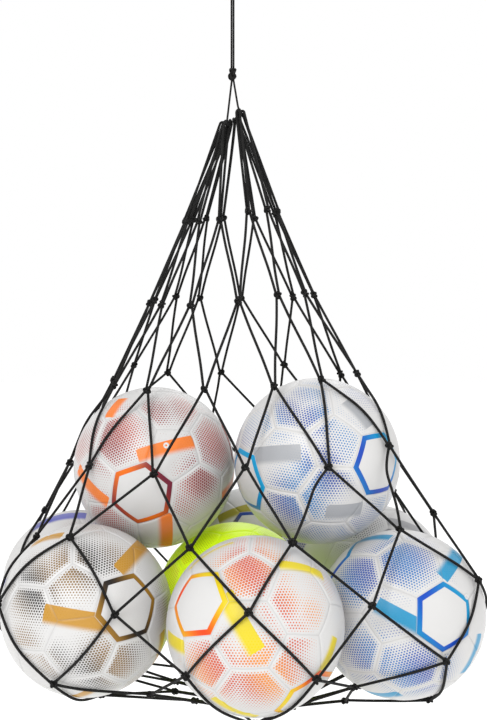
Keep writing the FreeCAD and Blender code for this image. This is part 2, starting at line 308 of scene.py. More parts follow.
def spline(controls, steps=8):
    """Quadratic B-spline, clamped at its ends: between the midpoints of the control polygon's
    runs each piece is (1-t)^2 a + 2t(1-t) b + t^2 c. controls is (..., n, 3)."""
    controls = np.asarray(controls, dtype=float)
    middles = (controls[..., 1:-2, :] + controls[..., 2:-1, :]) / 2
    starts = np.concatenate((controls[..., :1, :], middles), axis=-2)[..., None, :]
    ends = np.concatenate((middles, controls[..., -1:, :]), axis=-2)[..., None, :]
    peaks = controls[..., 1:-1, :][..., None, :]
    t = (np.arange(steps) / steps)[:, None]
    parts = (1 - t) ** 2 * starts + 2 * t * (1 - t) * peaks + t ** 2 * ends
    parts = parts.reshape(controls.shape[:-2] + (-1, 3))
    return np.concatenate((parts, controls[..., -1:, :]), axis=-2)


def route_points(name, controls):
    """Points along an open NURBS curve of order 3, as the curve's own mesh gives them."""
    curve = bpy.data.curves.new(name, "CURVE")
    curve.dimensions = "3D"
    curve.resolution_u = ROUTE_RESOLUTION
    route = curve.splines.new("NURBS")
    route.points.add(len(controls) - 1)
    route.points.foreach_set("co", np.column_stack((controls, np.ones(len(controls)))).ravel())
    route.order_u = 3
    route.use_endpoint_u = True
    holder = bpy.data.objects.new(name, curve)
    line = bpy.data.meshes.new_from_object(holder)
    places = np.empty(len(line.vertices) * 3)
    line.vertices.foreach_get("co", places)
    bpy.data.objects.remove(holder)
    bpy.data.curves.remove(curve)
    bpy.data.meshes.remove(line)
    return places.reshape(-1, 3)


def level_direction(paths):
    """For each path, the direction that its tangents lean towards least: the last row of the
    singular value decomposition of its tangents."""
    tangents = unit(np.gradient(paths, axis=-2))
    return np.linalg.svd(tangents, full_matrices=False)[2][..., -1:, :]


def tubes(paths, radius, sides, lean=None, closed=False):
    """Round tubes along paths of shape (k, m, 3): p(s, a) = path(s) + radius (cos a n + sin a b),
    with n the part of lean across the tangent and b the tangent crossed with n. radius is a
    number, or one for each place along a path. Returns points, faces and cord coordinates,
    which are the turn round the tube and the length along it in metres."""
    paths = np.asarray(paths, dtype=float)
    if paths.ndim == 2:
        paths = paths[None]
    count, places = paths.shape[:2]
    if closed:
        tangents = unit(np.roll(paths, -1, axis=1) - np.roll(paths, 1, axis=1))
    else:
        tangents = unit(np.gradient(paths, axis=1))
    lean = level_direction(paths) if lean is None else np.asarray(lean, dtype=float)
    across = unit(lean - (lean * tangents).sum(-1, keepdims=True) * tangents)
    other = np.cross(tangents, across)
    angle = np.arange(sides) * (2 * np.pi / sides)
    ring = (np.cos(angle)[:, None] * across[:, :, None, :]
            + np.sin(angle)[:, None] * other[:, :, None, :])
    radius = np.broadcast_to(radius, (count, places))[:, :, None, None]
    skin = paths[:, :, None, :] + radius * ring
    runs = np.linalg.norm(np.diff(paths, axis=1), axis=-1)
    along = np.concatenate((np.zeros((count, 1)), np.cumsum(runs, axis=1)), axis=1)
    rings = places if closed else places - 1
    tube = np.arange(count)[:, None, None] * places * sides
    here = np.arange(rings)[:, None]
    side = np.arange(sides)
    after = (here + 1) % places
    beside = (side + 1) % sides
    corners = [here * sides + side, after * sides + side, after * sides + beside,
               here * sides + beside]
    faces = np.stack([tube + corner for corner in corners], axis=-1)
    end = np.broadcast_to(along[:, -1:] + (runs.mean() if closed else 0), (count, 1))
    marks = np.concatenate((along, end), axis=1)[:, :rings + 1]
    low = np.broadcast_to(marks[:, :-1, None], (count, rings, sides))
    high = np.broadcast_to(marks[:, 1:, None], (count, rings, sides))
    left = np.broadcast_to(side / sides, low.shape)
    right = np.broadcast_to((side + 1) / sides, low.shape)
    uv = np.stack([np.stack(pair, axis=-1)
                   for pair in ((left, low), (left, high), (right, high), (right, low))], axis=-2)
    points, faces, uv = skin.reshape(-1, 3), faces.reshape(-1, 4), uv.reshape(-1, 4, 2)
    if closed:
        return points, faces, uv
    first = np.arange(count)[:, None] * places * sides
    last = first + (places - 1) * sides
    pole = len(points) + np.arange(count)[:, None]
    start_cap = np.stack((first + side, first + beside, pole + 0 * side, pole + 0 * side), -1)
    end_cap = np.stack((last + beside, last + side, pole + count + 0 * side,
                        pole + count + 0 * side), -1)
    caps = np.concatenate((start_cap.reshape(-1, 4), end_cap.reshape(-1, 4)))
    points = np.concatenate((points, paths[:, 0], paths[:, -1]))
    return points, np.concatenate((faces, caps)), np.concatenate((uv, np.zeros((len(caps), 4, 2))))


def joined(parts):
    """Several (points, faces, uv) as one, with each part's corners moved on past the points
    before it."""
    shift = 0
    points, faces, uv = [], [], []
    for part_points, part_faces, part_uv in parts:
        points.append(part_points)
        faces.append(part_faces + shift)
        uv.append(part_uv)
        shift += len(part_points)
    return np.concatenate(points), np.concatenate(faces), np.concatenate(uv)


def lathe(profile, sides, centre, axis):
    """A profile of (radius, height) turned round an axis: p(s, a) = centre + height axis +
    radius (cos a u + sin a v). Ends at radius 0 close into poles."""
    axis = unit(np.asarray(axis, dtype=float))
    u = unit(np.cross(axis, (0.31, 0.87, 0.38)))
    v = np.cross(axis, u)
    angle = np.arange(sides) * (2 * np.pi / sides)
    ring = np.cos(angle)[:, None] * u + np.sin(angle)[:, None] * v
    profile = np.asarray(profile, dtype=float)
    skin = centre + profile[:, None, 1:] * axis + profile[:, None, :1] * ring
    here = np.arange(len(profile) - 1)[:, None] * sides
    side = np.arange(sides)
    beside = (side + 1) % sides
    faces = np.stack((here + side, here + beside, here + sides + beside, here + sides + side), -1)
    return skin.reshape(-1, 3), faces.reshape(-1, 4)


# ---------------------------------------------------------------- shader expressions

class Wire:
    """One socket of a material's tree. Arithmetic on it adds Math nodes."""

    def __init__(self, tree, socket=None):
        self.tree = tree
        self.socket = socket

    def add(self, kind, settings=None, inputs=None, output=0):
        """Adds a node of a kind, sets its settings, then its sockets' values or links."""
        node = self.tree.nodes.new(kind)
        for key, value in (settings or {}).items():
            setattr(node, key, value)
        for key, value in (inputs or {}).items():
            if isinstance(value, Wire):
                self.tree.links.new(value.socket, node.inputs[key])
            else:
                node.inputs[key].default_value = value
        return Wire(self.tree, node.outputs[output])

    def math(self, operation, *values):
        return self.add("ShaderNodeMath", {"operation": operation}, dict(enumerate(values)))

    def __add__(self, other):
        return self.math("ADD", self, other)

    def __sub__(self, other):
        return self.math("SUBTRACT", self, other)

    def __rsub__(self, other):
        return self.math("SUBTRACT", other, self)

    def __mul__(self, other):
        return self.math("MULTIPLY", self, other)

    def __truediv__(self, other):
        return self.math("DIVIDE", self, other)

    __radd__ = __add__
    __rmul__ = __mul__

    def least(self, other):
        return self.math("MINIMUM", self, other)

    def most(self, other):
        return self.math("MAXIMUM", self, other)

    def fraction(self):
        return self.math("FRACT", self)

    def root(self):
        return self.math("SQRT", self)

    def sine(self):
        return self.math("SINE", self)

    def step(self, low, high):
        """0 below low, 1 above high, and smooth between."""
        return self.add("ShaderNodeMapRange", {"interpolation_type": "SMOOTHSTEP"},
                        {"Value": self, "From Min": low, "From Max": high})

    def blend(self, first, second):
        """The mix of two colours, with this number as the share of the second."""
        return self.add("ShaderNodeMix", {"data_type": "RGBA"},
                        {0: self, 6: first, 7: second}, output=2)

    def value(self, name):
        """A number that the mesh carries at its points."""
        return self.add("ShaderNodeAttribute", {"attribute_name": name}, output=2)

    def surface_place(self, layer):
        """The three numbers of a place in the mesh's own flat coordinates."""
        return self.add("ShaderNodeUVMap", {"uv_map": layer}).split()

    def split(self):
        parts = self.add("ShaderNodeSeparateXYZ", inputs={0: self}).socket.node
        return [Wire(self.tree, socket) for socket in parts.outputs]

    def place(self):
        """Object coordinates."""
        return self.add("ShaderNodeTexCoord", output=3)

    def noise(self, scale, detail=2.0):
        return self.add("ShaderNodeTexNoise", None,
                        {"Vector": self.place(), "Scale": scale, "Detail": detail})

    def bump(self, height, depth, strength):
        """The normal that a height gives, with its depth in metres."""
        return self.add("ShaderNodeBump", None,
                        {"Strength": strength, "Distance": depth, "Height": height})


def rgba(colour, share=1.0):
    """A colour with its alpha, made darker or lighter by a share."""
    return (*[share * part for part in colour], 1.0)


def new_finish(name):
    """A material with a Principled surface: returns it, a bare wire and the surface node."""
    material = bpy.data.materials.new(name)
    material.use_nodes = True
    surface = material.node_tree.nodes["Principled BSDF"]
    return material, Wire(material.node_tree), surface


def feed(surface, **inputs):
    """Sets or links the surface's sockets. An underscore in a name stands for a space."""
    for key, value in inputs.items():
        socket = surface.inputs[key.replace("_", " ")]
        if isinstance(value, Wire):
            value.tree.links.new(value.socket, socket)
        else:
            socket.default_value = value


def braid_finish(name, yarns, repeat, colour, gap):
    """Braided cord: two sets of yarns that wind opposite ways round the cord and cross. Each
    set is the sine of the turn round the cord, plus or minus the length along it over the
    braid's repeat, and the higher of the two lies on top."""
    material, wire, surface = new_finish(name)
    turn, along, _ = wire.surface_place("cord")
    wave = 2 * math.pi
    around = turn * (yarns * wave)
    onward = along * (wave / repeat)
    yarn = (around + onward).sine().most((around - onward).sine()).step(-0.2, 0.9)
    wear = wire.noise(90.0, 3.0).step(0.35, 0.75)
    tone = wear.blend(rgba(colour), rgba(colour, 1.9))
    fibres = wire.noise(2600.0) * 0.25
    # the gaps between the yarns take the darker gap colour: painted shade in the braid's hollows
    feed(surface, Base_Color=yarn.blend(rgba(gap), tone), Roughness=0.72 - yarn * 0.16,
         Normal=wire.bump(yarn + fibres, 0.0003, 0.9), Specular_IOR_Level=0.1)
    return material


def lattice_distance(wire, pitch):
    """How far a place is from the nearest dot, as a share of the pitch: the dots lie on two
    grids of pitch by pitch times root 3, one moved half a cell both ways."""
    root_3 = math.sqrt(3)
    x, y, _ = wire.surface_place("panel")
    across = x / pitch
    up = y / (pitch * root_3)

    def reach(shift):
        side = (across + shift).fraction() - 0.5
        rise = ((up + shift).fraction() - 0.5) * root_3
        return (side * side + rise * rise).root()

    return reach(0.0).least(reach(0.5))


def print_finish(name, ground, inks, pitch, painted_glow):
    """A printed cover: dots, bars with one soft side and an outlined panel over a ground colour,
    with sunk seams that painted shade darkens, and a pebbled skin. The pitch and the distances
    that the mesh carries are in millimetres."""
    dot_a, dot_b, bar, edge_a, edge_b = inks
    material, wire, surface = new_finish(name)
    dots, tint, outline = wire.value("dots"), wire.value("tint"), wire.value("outline")
    size = dots * DOT_GROWTH + DOT_LEAST
    dot = (size - lattice_distance(wire, pitch)).step(-0.03, 0.05) * dots.step(0.06, 0.14)
    fade = wire.value("bar_soft").step(0.0, BAR_FADE)
    stripe = wire.value("bar_sharp").step(-0.2, 0.5) * fade
    rim = outline.step(*RIM_OUTER) * (1.0 - outline.step(*RIM_INNER))
    open_panel = 1.0 - outline.step(0.4, 0.8)
    mottle = wire.noise(14.0, 3.0).step(0.3, 0.8)
    base = (mottle * 0.05).blend(rgba(ground), rgba(ground, 0.8))
    colour = (dot * open_panel * 0.92).blend(base, tint.blend(rgba(dot_a), rgba(dot_b)))
    colour = (stripe * open_panel * 0.95).blend(colour, rgba(bar))
    colour = rim.blend(colour, tint.blend(rgba(edge_a), rgba(edge_b)))
    # painted shade: the sunk seams are blended towards a darker copy of the ground colour, as
    # shade would lie in them, and are made rougher
    shaded_groove = (1.0 - wire.value("seam").step(0.0, 1.0)) * 0.24
    colour = shaded_groove.blend(colour, rgba(ground, 0.45))
    pebble = wire.add("ShaderNodeTexVoronoi", {"feature": "SMOOTH_F1"},
                      {"Vector": wire.place(), "Scale": 620.0, "Smoothness": 0.6})
    feed(surface, Base_Color=colour, Roughness=0.30 + wire.noise(40.0) * 0.08 + shaded_groove * 0.5,
         Normal=wire.bump(pebble, 0.00022, 0.5))
    # painted light: the emission makes the cover glow evenly in its own ground colour, with no
    # lamp on it
    feed(surface, Coat_Weight=0.06, Coat_Roughness=0.2, Specular_IOR_Level=0.2,
         Emission_Color=rgba(ground), Emission_Strength=painted_glow)
    return material


def rubber_finish(name, colour, rough):
    """Plain rubber with a fine bloom."""
    material, wire, surface = new_finish(name)
    bloom = wire.noise(220.0, 4.0)
    tone = bloom.step(0.3, 0.8).blend(rgba(colour), rgba(colour, 1.5))
    feed(surface, Base_Color=tone, Roughness=rough + bloom * 0.12,
         Normal=wire.bump(wire.noise(1500.0), 0.0001, 0.4))
    return material


def floor_finish(name, tone):
    """A pale matt floor that glows a little, so that it meets the surround without a line."""
    material, wire, surface = new_finish(name)
    grain = wire.noise(3.0, 4.0).step(0.2, 0.8)
    pale = (tone, tone, tone)
    feed(surface, Base_Color=(grain * 0.2).blend(rgba(pale), rgba(pale, 0.98)), Roughness=0.85,
         Specular_IOR_Level=0.1, Emission_Color=rgba((1.0, 1.0, 1.0)), Emission_Strength=0.12)
    return material


# ---------------------------------------------------------------- the net's shape

def columns(row):
    """Column numbers of a row: 0 is the front, and odd rows sit half a column over."""
    shift = 0.5 if row % 2 else 0.0
    return [number + shift - COLUMNS / 2 for number in range(COLUMNS)]


def column_degrees(column):
    """The turn of a column from +X. Column 0 faces the front."""
    return -90.0 + 360.0 * column / COLUMNS


def wrap(column):
    """The same column, counted from -COLUMNS / 2."""
    half = COLUMNS / 2
    return (column + half) % COLUMNS - half


def neck_degrees(column):
    """Where a top loop hangs round the neck bight, which is open at the front."""
    first = NECK_OPEN_DEG / 2 + 1.0
    spread = (180.0 - first) / (COLUMNS / 2) * (abs(column) - 0.5) * COLUMNS / (COLUMNS - 1)
    return -90.0 + math.copysign(first + spread, column)


def neck_point(degrees):
    """A point of the neck bight, which climbs from its left end, round the back, to its right."""
    first = -90.0 - NECK_OPEN_DEG / 2
    share = ((first - degrees) % 360.0) / (360.0 - NECK_OPEN_DEG)
    return polar(NECK_R, degrees, NECK_LOW_Z + NECK_RISE * share)


def start_place(row, column):
    """A rough first place for a knot, on a cone that closes in again below the balls."""
    share = row / ROWS
    past = row - BELLY_ROW
    if past <= 0:
        radius, height = CONE_FLARE * row, CONE_TOP_Z - CONE_DROP * row
    else:
        radius, height = BELLY_R - HEM_CLOSE * past, HEM_TOP_Z - HEM_DROP * past
    drift = max(0.0, share - DRIFT_FROM)
    lean = LEAN_BY_BASE * share
    shift = (lean + BASE_CENTRE[0] * drift, lean + BASE_CENTRE[1] * drift, 0)
    return polar(radius, column_degrees(column), height) + np.array(shift)


def base_place(column):
    return polar(BASE_RING_R, column_degrees(column), 0) + BASE_CENTRE


class Net:
    """Points, and bars of RUNS segments each, that settle into a taut net over the balls."""

    def __init__(self, ball_centres):
        self.centres = ball_centres
        self.points, self.names, self.bars, self.segments = [], {}, {}, []
        self.fixed = set()
        for column in columns(1):
            self.fixed.add(self.add(("top", column), neck_point(neck_degrees(column))))
        for row in range(1, ROWS + 1):
            for column in columns(row):
                self.add((row, column), start_place(row, column))
        for column in columns(ROWS + 1):
            self.fixed.add(self.add((ROWS + 1, column), base_place(column)))
        for column in columns(1):
            self.join(("top", column), (1, column), TOP_LOOP, 1.0)
        for row in range(1, ROWS + 1):
            drawn = row >= FIRST_DRAWN_ROW
            rest, pull = (DRAWN_BAR, DRAWN_PULL) if drawn else (MESH_BAR, 1.0)
            for column in columns(row):
                for side in (-0.5, 0.5):
                    self.join((row, column), (row + 1, wrap(column + side)), rest, pull)
        self.settle()

    def add(self, name, place):
        self.names[name] = len(self.points)
        self.points.append(place)
        return self.names[name]

    def join(self, upper, lower, rest, pull):
        a, b = self.points[self.names[upper]], self.points[self.names[lower]]
        chain = [self.names[upper]]
        for step in range(1, RUNS):
            chain.append(self.add((upper, lower, step), a + (b - a) * (step / RUNS)))
        chain.append(self.names[lower])
        self.bars[(upper, lower)] = chain
        self.segments += [(first, second, rest / RUNS, pull)
                          for first, second in zip(chain, chain[1:])]

    def settle(self):
        """Each pass moves every point by its share of what its segments are too long or too
        short, draws the guided knots towards their places, and lifts sunk points off the
        balls. Between steps, points coast on by part of their last move."""
        points = np.array(self.points)
        count = len(points)
        first, second, rest, pull = (np.array(part) for part in zip(*self.segments))
        ends = np.bincount(first, minlength=count) + np.bincount(second, minlength=count)
        free = np.array([index not in self.fixed for index in range(count)])
        clear = np.full(count, CORD_CLEAR)
        clear[[self.names[(row, column)] for row in range(1, ROWS + 1)
               for column in columns(row)]] = KNOT_CLEAR
        guides = [(self.names[(row, column)], x / 1000, z / 1000)
                  for row, places in GUIDED_KNOTS.items() for column, (x, z) in places.items()]
        guided = np.array([guide[0] for guide in guides])
        goals = np.array([guide[1:] for guide in guides])
        scale = np.where(free, 1.0 / (SHARE * np.maximum(ends, 1)), 0.0)[:, None]
        both = np.concatenate((first, second))
        speed = np.zeros_like(points)
        for step in range(SETTLE_STEPS):
            before = points.copy()
            if step < COAST_STEPS:
                points[free] += COAST * speed[free]
            for _ in range(PASSES):
                gap = points[second] - points[first]
                length = np.linalg.norm(gap, axis=1) + 1e-12
                part = (0.5 * pull * (length - rest) / length)[:, None] * gap
                shares = np.concatenate((part, -part))
                moves = np.stack([np.bincount(both, shares[:, axis], minlength=count)
                                  for axis in range(3)], axis=1)
                points += moves * scale
                points[guided[:, None], [[0, 2]]] += GUIDE_PULL * (
                    goals - points[guided[:, None], [[0, 2]]])
                for centre in self.centres:
                    away = points - centre
                    distance = np.linalg.norm(away, axis=1)
                    sunk = free & (distance < clear)
                    points[sunk] = centre + away[sunk] * (clear / distance)[sunk, None]
            speed = points - before
        self.points = points

    def at(self, name):
        return self.points[self.names[name]]

    def chain(self, upper, lower):
        return self.points[self.bars[(upper, lower)]]

    def knot_axes(self, row, column):
        """A knot's own down and right directions, from the cords that leave it."""
        here = self.at((row, column))
        lower = [self.chain((row, column), (row + 1, wrap(column + side)))[1]
                 for side in (-0.5, 0.5)]
        if row == 1:
            upper = [self.chain(("top", column), (1, column))[-2]]
        else:
            upper = [self.chain((row - 1, wrap(column + side)), (row, column))[-2]
                     for side in (-0.5, 0.5)]
        above = unit(np.array(upper) - here).mean(axis=0)
        below = unit(np.array(lower) - here).mean(axis=0)
        down = unit(below - above)
        across = lower[1] - lower[0]
        return down, unit(across - down * across.dot(down))


def ball_centres():
    """Each ball's centre is where its joint turns."""
    found = {}
    for joint in frame["joints"]:
        if joint["name"].startswith("ball_"):
            found[joint["name"][len("ball_"):-len("_turn")]] = np.array(joint["pos_m"])
    return {name: found[name] for name in BALLS}


CENTRES = ball_centres()
NET = Net(list(CENTRES.values()))


# ---------------------------------------------------------------- cords and knots

def base_end(column, side):
    """The end of a last cord, just inside the outer surface of the base ring."""
    degrees = column_degrees(column)
    reach = BASE_RING_R + BASE_R - 0.0005
    return (BASE_CENTRE + polar(reach, degrees, 0)
            + polar(2 * side * BASE_PAIR_HALF, degrees + 90.0, 0))


def mesh_row_paths(row):
    """The smooth lines of the cords from one row of knots to the next, or to the base ring."""
    routes = []
    for column in columns(row):
        down, right = NET.knot_axes(row, column)
        for side in (-0.5, 0.5):
            target = (row + 1, wrap(column + side))
            route = NET.chain((row, column), target).copy()
            route[0] += down * EXIT_DOWN * 0.5 + right * (EXIT_SIDE * 2 * side)
            if row < ROWS:
                low_down, low_right = NET.knot_axes(*target)
                route[-1] -= low_down * EXIT_DOWN * 0.5 + low_right * (EXIT_SIDE * 2 * side)
            else:
                route[1] += right * (LAST_SPREAD * 2 * side)
                route[-1] = base_end(target[1], -side)
            routes.append(route)
    return spline(np.array(routes), 9)


def trefoil(width, height, depth, places):
    """A three-lobed knot's line: x = sin t + 2 sin 2t, z = cos t - 2 cos 2t, y = -sin 3t, each
    scaled to its half size."""
    t = np.arange(places) * (2 * np.pi / places)
    return np.stack((width * (np.sin(t) + 2 * np.sin(2 * t)) / 3, -depth * np.sin(3 * t),
                     height * (np.cos(t) - 2 * np.cos(2 * t)) / 3), axis=-1)


def knot_lines(row):
    """The knots' lines of one row, each turned to the cords that leave it and rolled a little
    further than the one before."""
    line = trefoil(*NET_KNOT_LINE)
    lines = []
    for number, column in enumerate(columns(row)):
        down, right = NET.knot_axes(row, column)
        by_knot, by_row = NET_KNOT_ROLL_DEG
        roll = math.radians(by_knot * number + by_row * row)
        across = right * math.cos(roll) + down * math.sin(roll)
        rise = right * math.sin(roll) - down * math.cos(roll)
        out = np.cross(rise, across)
        lines.append(line @ np.array((across, out, rise)))
    centres = np.array([NET.at((row, column)) for column in columns(row)])
    return np.array(lines), centres


def knot_cores(lines, centres, radius, sides):
    """Tubes along closed knot lines about their centres, leaning away from each centre."""
    return tubes(lines + centres[:, None, :], radius, sides, lean=unit(lines), closed=True)


def top_loop_paths():
    """The top meshes: hairpins that hang on the neck bight, each with both legs in one knot."""
    lift = DRAW_R + NET_R + LOOP_GAP
    routes = []
    for number, column in enumerate(columns(1)):
        half = lift + LOOP_SLACK * (number % 2)
        degrees = neck_degrees(column)
        seat = neck_point(degrees)
        along = unit(neck_point(degrees - 1.0) - neck_point(degrees + 1.0))
        knot = NET.at((1, column))
        hang = knot - seat
        hang = unit(hang - along * hang.dot(along))
        side = unit(np.cross(along, hang))
        down, _ = NET.knot_axes(1, column)
        foot = knot - down * EXIT_DOWN * 0.5
        crest = seat - hang * lift
        routes.append((foot - side * EXIT_SIDE, crest - side * half + hang * LOOP_SHOULDER,
                       crest - side * half, crest + side * half,
                       crest + side * half + hang * LOOP_SHOULDER, foot + side * EXIT_SIDE))
    return spline(np.array(routes), 10)


def neck_path():
    """The draw cord below its knot: one leg down, the bight through the top loops, one leg up."""
    first = -90.0 - NECK_OPEN_DEG / 2
    step = (360.0 - NECK_OPEN_DEG) / NECK_STEPS
    bight = [neck_point(first - step * number) for number in range(NECK_STEPS)]
    bight.append(neck_point(first - step * NECK_STEPS + 1e-6))
    for lift, low, high in zip(NECK_LEAD_LIFT, (0, 1), (-1, -2)):
        bight[low] = bight[low] + (0, 0, lift)
        bight[high] = bight[high] + (0, 0, lift)
    knot = np.array((0, 0, CLOSING_KNOT_Z))
    ends = [knot + unit(bight[end] - knot) * TIE_REACH * LEG_START for end in (0, -1)]
    leads = [ends[0], bight[0] + (ends[0] - bight[0]) * LEG_BEND]
    tails = [bight[-1] + (ends[1] - bight[-1]) * LEG_BEND, ends[1]]
    return spline(np.array(leads + bight + tails), 6)


def outward_lean(path):
    """Straight away from the vertical axis, for cords that wind round it."""
    return unit(path * (1, 1, 0))


# ---------------------------------------------------------------- balls

def icosahedron():
    """The 12 corners of an icosahedron: (0, 1, phi) with its signs and turns."""
    phi = (1 + math.sqrt(5)) / 2
    corners = [np.roll((0, a, b * phi), turn) for turn in range(3)
               for a in (-1, 1) for b in (-1, 1)]
    return unit(np.array(corners))


def panel_plan():
    """The 32 panels of a football: a centre and the corners in order, from an icosahedron
    with each edge cut in thirds."""
    tips = icosahedron()
    near = tips @ tips.T
    edge = near[near < 0.99].max() - 1e-6
    pairs = [(i, j) for i in range(12) for j in range(12) if i != j and near[i, j] > edge]
    cuts = np.array([(2 * tips[i] + tips[j]) / 3 for i, j in pairs])
    centres = list(tips)
    for i in range(12):
        for j in range(i + 1, 12):
            for k in range(j + 1, 12):
                if min(near[i, j], near[j, k], near[i, k]) > edge:
                    centres.append(unit(tips[i] + tips[j] + tips[k]))
    panels = []
    for centre in centres:
        height = cuts @ centre
        corners = cuts[height > height.max() - 1e-6]
        u = unit(corners[0] - centre * corners[0].dot(centre))
        v = np.cross(centre, u)
        order = np.argsort(np.arctan2(corners @ v, corners @ u))
        panels.append((centre, unit(corners[order])))
    return panels


PANELS = panel_plan()
FIRST_HEXAGON = 12
SIDE_STEPS = 8
RINGS = np.array((0.0, 0.16, 0.31, 0.45, 0.58, 0.69, 0.78, 0.86, 0.92, 0.955, 0.98, 1.0))


def turned_panels(aim, turn):
    """The panels turned so that the first hexagon's centre lies at aim, rolled by turn."""
    centre, corners = PANELS[FIRST_HEXAGON]
    u = unit(corners[0] - centre * corners[0].dot(centre))
    first = np.array((centre, u, np.cross(centre, u)))
    side = unit(np.cross(WORLD_UP, aim))
    rise = np.cross(aim, side)
    roll = math.radians(turn)
    across = side * math.cos(roll) + rise * math.sin(roll)
    last = np.array((aim, across, np.cross(aim, across)))
    matrix = first.T @ last
    return [(centre @ matrix, corners @ matrix) for centre, corners in PANELS]


def panel_grid(centre, corners):
    """One panel as a fan: d(r, s) = unit((1 - r) centre + r edge(s)), with edge(s) running
    evenly along the sides. Returns directions, faces, distance to the nearest side in
    millimetres and the panel's own flat coordinates in millimetres."""
    share = (np.arange(SIDE_STEPS) / SIDE_STEPS)[None, :, None]
    after = np.roll(corners, -1, axis=0)
    rim = (corners[:, None] * (1 - share) + after[:, None] * share).reshape(-1, 3)
    middle = centre * corners[0].dot(centre)
    way = unit(middle + RINGS[:, None, None] * (rim - middle)[None]).reshape(-1, 3)
    count = len(rim)
    here = np.arange(len(RINGS) - 1)[:, None] * count
    side = np.arange(count)
    beside = (side + 1) % count
    faces = np.stack((here + side, here + count + side, here + count + beside, here + beside), -1)
    inward = unit(np.cross(corners, after))
    seam = 1000 * BALL_R * np.arcsin(np.clip(way @ inward.T, 0, 1)).min(axis=1)
    u = unit(corners[0] - centre * corners[0].dot(centre))
    v = np.cross(centre, u)
    flat = np.stack((way @ u, way @ v), axis=-1)
    bend = np.arccos(np.clip(way @ centre, -1, 1))[:, None]
    flat = 1000 * BALL_R * bend * flat / np.maximum(np.linalg.norm(flat, axis=1), 1e-9)[:, None]
    return way, faces.reshape(-1, 4), seam, flat


class Face:
    """Directions on a ball as they show from the front: (right, up) in ball radii."""

    def __init__(self, centre):
        self.out = unit(VIEW_POINT - centre)
        self.right = unit(np.cross(WORLD_UP, self.out))
        self.up = np.cross(self.out, self.right)

    def way(self, right, up):
        near = math.sqrt(max(0.0, 1 - right * right - up * up))
        return unit(self.right * right + self.up * up + self.out * near)


def bar_distances(way, face, bars):
    """For each direction, millimetres inside the nearest printed bar: from its crisp edge and
    ends, and from its soft edge. A bar follows the great circle between two directions."""
    best = np.full(len(way), -40.0)
    crisp = np.full(len(way), -20.0)
    fading = np.full(len(way), -20.0)
    size = 1000 * BALL_R
    for right_a, up_a, right_b, up_b, half in bars:
        a, b = face.way(right_a, up_a), face.way(right_b, up_b)
        pole, middle = unit(np.cross(a, b)), unit(a + b)
        onward = np.cross(pole, middle)
        across = size * np.arcsin(np.clip(way @ pole, -1, 1))
        along = size * np.abs(np.arctan2(way @ onward, way @ middle))
        reach = size * math.acos(np.clip(a.dot(b), -1, 1)) / 2
        sharp = np.minimum(half - across, reach - along)
        soft = half + BAR_OVERRUN + across
        inside = np.minimum(sharp, soft)
        closer = inside > best
        best = np.where(closer, inside, best)
        crisp = np.where(closer, sharp, crisp)
        fading = np.where(closer, soft, fading)
    return np.clip(crisp, -20, 20), np.clip(fading, -20, 20)


def dot_density(way, face, patches, phase):
    """Printed dots: a hill exp(-(angle / width)^3) round each patch, and a slow wave of its own
    on the far side."""
    density = np.zeros(len(way))
    for right, up, width, strength in patches:
        angle = np.arccos(np.clip(way @ face.way(right, up), -1, 1))
        density = np.maximum(density, strength * np.exp(-(angle / width) ** 3))
    far = np.clip(-(way @ face.out) * 3.0 + 0.1, 0, 1)
    wave = 0.5 + 0.5 * np.sin(5.1 * way @ face.right + phase) * np.sin(4.3 * way @ face.up + 2)
    return np.maximum(density, far * wave)


class BackFace(Face):
    """The same directions as they show from behind."""

    def __init__(self, centre):
        super().__init__(centre)
        self.out, self.right = -self.out, -self.right


def cover_arrays(centre, plan, seam_depth, seam_half_width):
    """A ball's cover: r(d) = ball radius - depth exp(-(distance to seam / half width)^2), on
    the grids of its 32 panels, and the numbers that its print reads."""
    face, back = Face(centre), BackFace(centre)
    panels = turned_panels(face.way(*plan["hexagon"]), plan["turn"])
    middles = np.array([middle for middle, _ in panels])
    wanted = [face.way(*place) for place in plan["outlined"]]
    wanted += [back.way(*place) for place in FAR_OUTLINED]
    outlined = {int(np.argmax(middles[FIRST_HEXAGON:] @ way)) + FIRST_HEXAGON for way in wanted}
    if not plan["outlined"]:
        outlined = set()
    ways, faces, seams, flats, rims = [], [], [], [], []
    shift = 0
    for number, (middle, corners) in enumerate(panels):
        way, corner_faces, seam, flat = panel_grid(middle, corners)
        ways.append(way)
        faces.append(corner_faces + shift)
        seams.append(seam)
        flats.append(flat)
        rims.append(seam if number in outlined else np.zeros(len(seam)))
        shift += len(way)
    way, faces, seam = np.concatenate(ways), np.concatenate(faces), np.concatenate(seams)
    flat, rim = np.concatenate(flats), np.concatenate(rims)
    crisp, fading = bar_distances(way, face, plan["bars"])
    far_crisp, far_fading = bar_distances(way, back, FAR_BARS)
    nearer = np.minimum(crisp, fading) > np.minimum(far_crisp, far_fading)
    dots = dot_density(way, face, plan["dots"], plan["turn"])
    dots = dots * np.clip((seam - BARE_MARGIN) / MARGIN_FADE, 0, 1)
    tint = 0.5 + 0.5 * np.sin(TINT_WAVES * way @ (face.right + 0.6 * face.up) + plan["turn"])
    depth = seam_depth * np.exp(-(seam / (1000 * seam_half_width)) ** 2)
    points = centre + way * (BALL_R - depth)[:, None]
    values = {"seam": seam, "dots": dots, "tint": tint, "outline": rim,
              "bar_sharp": np.where(nearer, crisp, far_crisp),
              "bar_soft": np.where(nearer, fading, far_fading)}
    return points, faces, flat[faces], values


# the side of a ball that the front doesn't show has these bars and outlined panels
FAR_BARS = ((-0.55, 0.15, 0.05, 0.32, 10.0), (0.35, -0.6, 0.75, -0.2, 10.0),
            (-0.35, -0.75, 0.1, -0.55, 10.0), (0.45, 0.75, 0.8, 0.3, 10.0))
FAR_OUTLINED = ((0.3, 0.35), (-0.6, -0.3))

